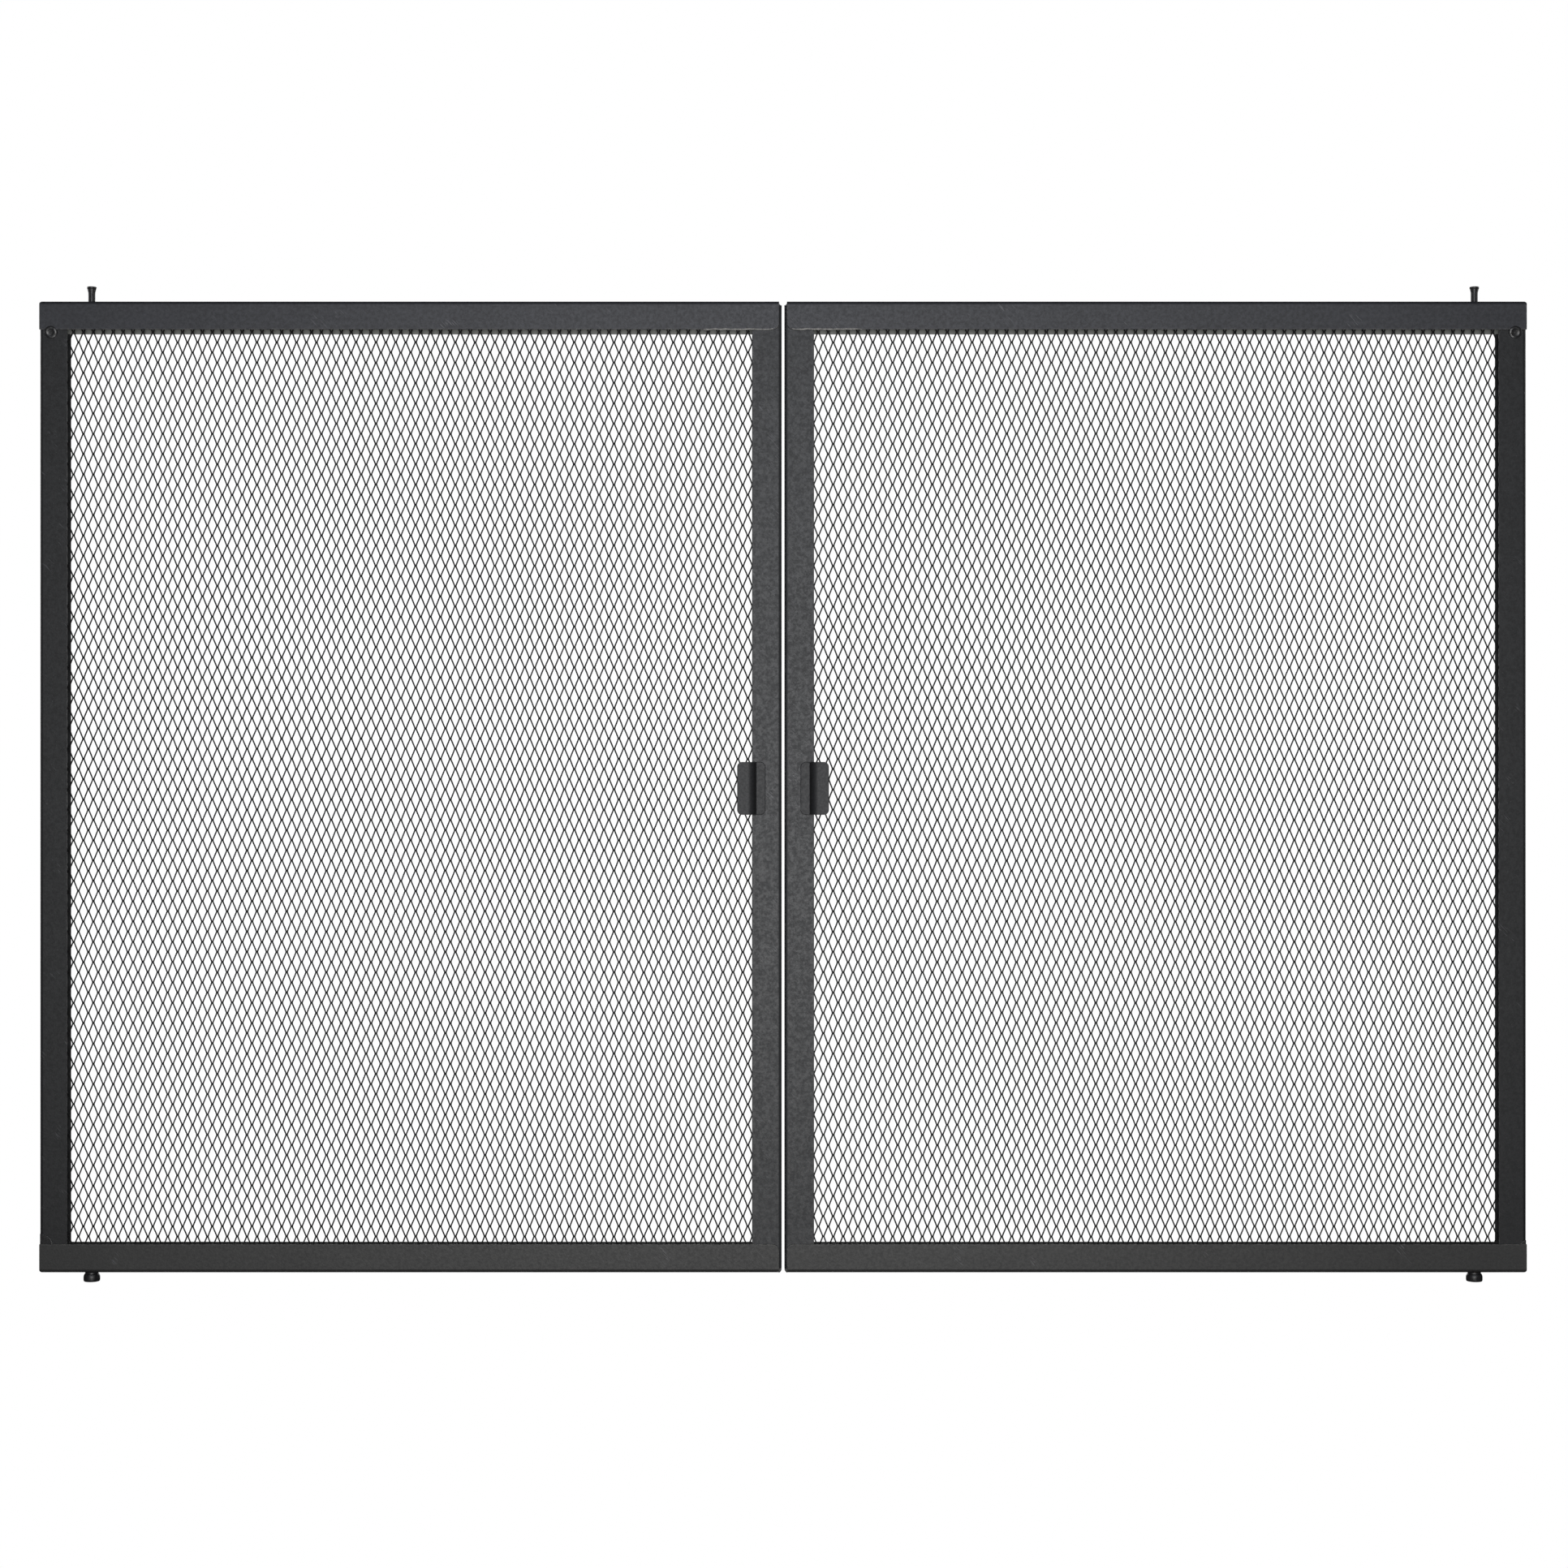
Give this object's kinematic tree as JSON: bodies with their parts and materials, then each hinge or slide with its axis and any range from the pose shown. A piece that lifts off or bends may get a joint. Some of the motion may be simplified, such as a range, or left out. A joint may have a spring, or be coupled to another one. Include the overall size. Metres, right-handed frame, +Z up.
{
  "type": "fireplace screen doors",
  "caption": "Pair of framed expanded-metal fireplace screen doors that swing open on bottom pivots and spring-loaded top pins.",
  "frame": {"origin": "on the hearth line, midway between the undersides of the two bottom pivots", "axes": "+Z up, +X along the closed doors to the right as seen from the room, -Y toward the room"},
  "size_m": [0.914, 0.023, 0.6122],
  "materials": {
    "frame_paint": "satin powder coat with a fine grain",
    "mesh_paint": "satin powder coat",
    "handle_paint": "satin powder coat",
    "black_steel": "black oxide, slightly oily",
    "spring_steel": "bright drawn wire",
    "zinc": "dull zinc plate",
    "sintered_bronze": "oiled sintered bronze",
    "magnet_plating": "mottled nickel plating"
  },
  "bodies": {
    "hearth_pivots": {"left_bottom_pivot": "black_steel", "right_bottom_pivot": "black_steel"},
    "left_leaf": {"left_pivot_bush": "sintered_bronze", "left_top_rail": "frame_paint", "left_bottom_rail": "frame_paint", "left_outer_stile": "frame_paint", "left_inner_stile": "frame_paint", "left_mesh_panel": "mesh_paint", "left_handle": "handle_paint", "left_top_magnet": "magnet_plating", "left_bottom_magnet": "magnet_plating", "left_pin_guide": "zinc", "left_pin_spring": "spring_steel"},
    "left_pin": {"left_top_pin": "black_steel", "left_pin_washer": "zinc", "left_pin_clip": "black_steel"},
    "right_leaf": {"right_pivot_bush": "sintered_bronze", "right_top_rail": "frame_paint", "right_bottom_rail": "frame_paint", "right_outer_stile": "frame_paint", "right_inner_stile": "frame_paint", "right_mesh_panel": "mesh_paint", "right_handle": "handle_paint", "right_top_magnet": "magnet_plating", "right_bottom_magnet": "magnet_plating", "right_pin_guide": "zinc", "right_pin_spring": "spring_steel"},
    "right_pin": {"right_top_pin": "black_steel", "right_pin_washer": "zinc", "right_pin_clip": "black_steel"}
  },
  "joints": [
    {"name": "left_leaf_swing", "type": "hinge", "parent": "hearth_pivots", "child": "left_leaf", "pos_m": [-0.4258, 0, 0], "axis": [0, 0, -1], "range_deg": [0, 100]},
    {"name": "left_pin_press", "type": "slide", "parent": "left_leaf", "child": "left_pin", "axis": [0, 0, -1], "range_m": [0, 0.0055], "stiffness_N_per_m": 600, "springref_m": -0.005, "deforming": ["left_pin_spring"]},
    {"name": "right_leaf_swing", "type": "hinge", "parent": "hearth_pivots", "child": "right_leaf", "pos_m": [0.4258, 0, 0], "axis": [0, 0, 1], "range_deg": [0, 100]},
    {"name": "right_pin_press", "type": "slide", "parent": "right_leaf", "child": "right_pin", "axis": [0, 0, -1], "range_m": [0, 0.0055], "stiffness_N_per_m": 600, "springref_m": -0.005, "deforming": ["right_pin_spring"]}
  ]
}
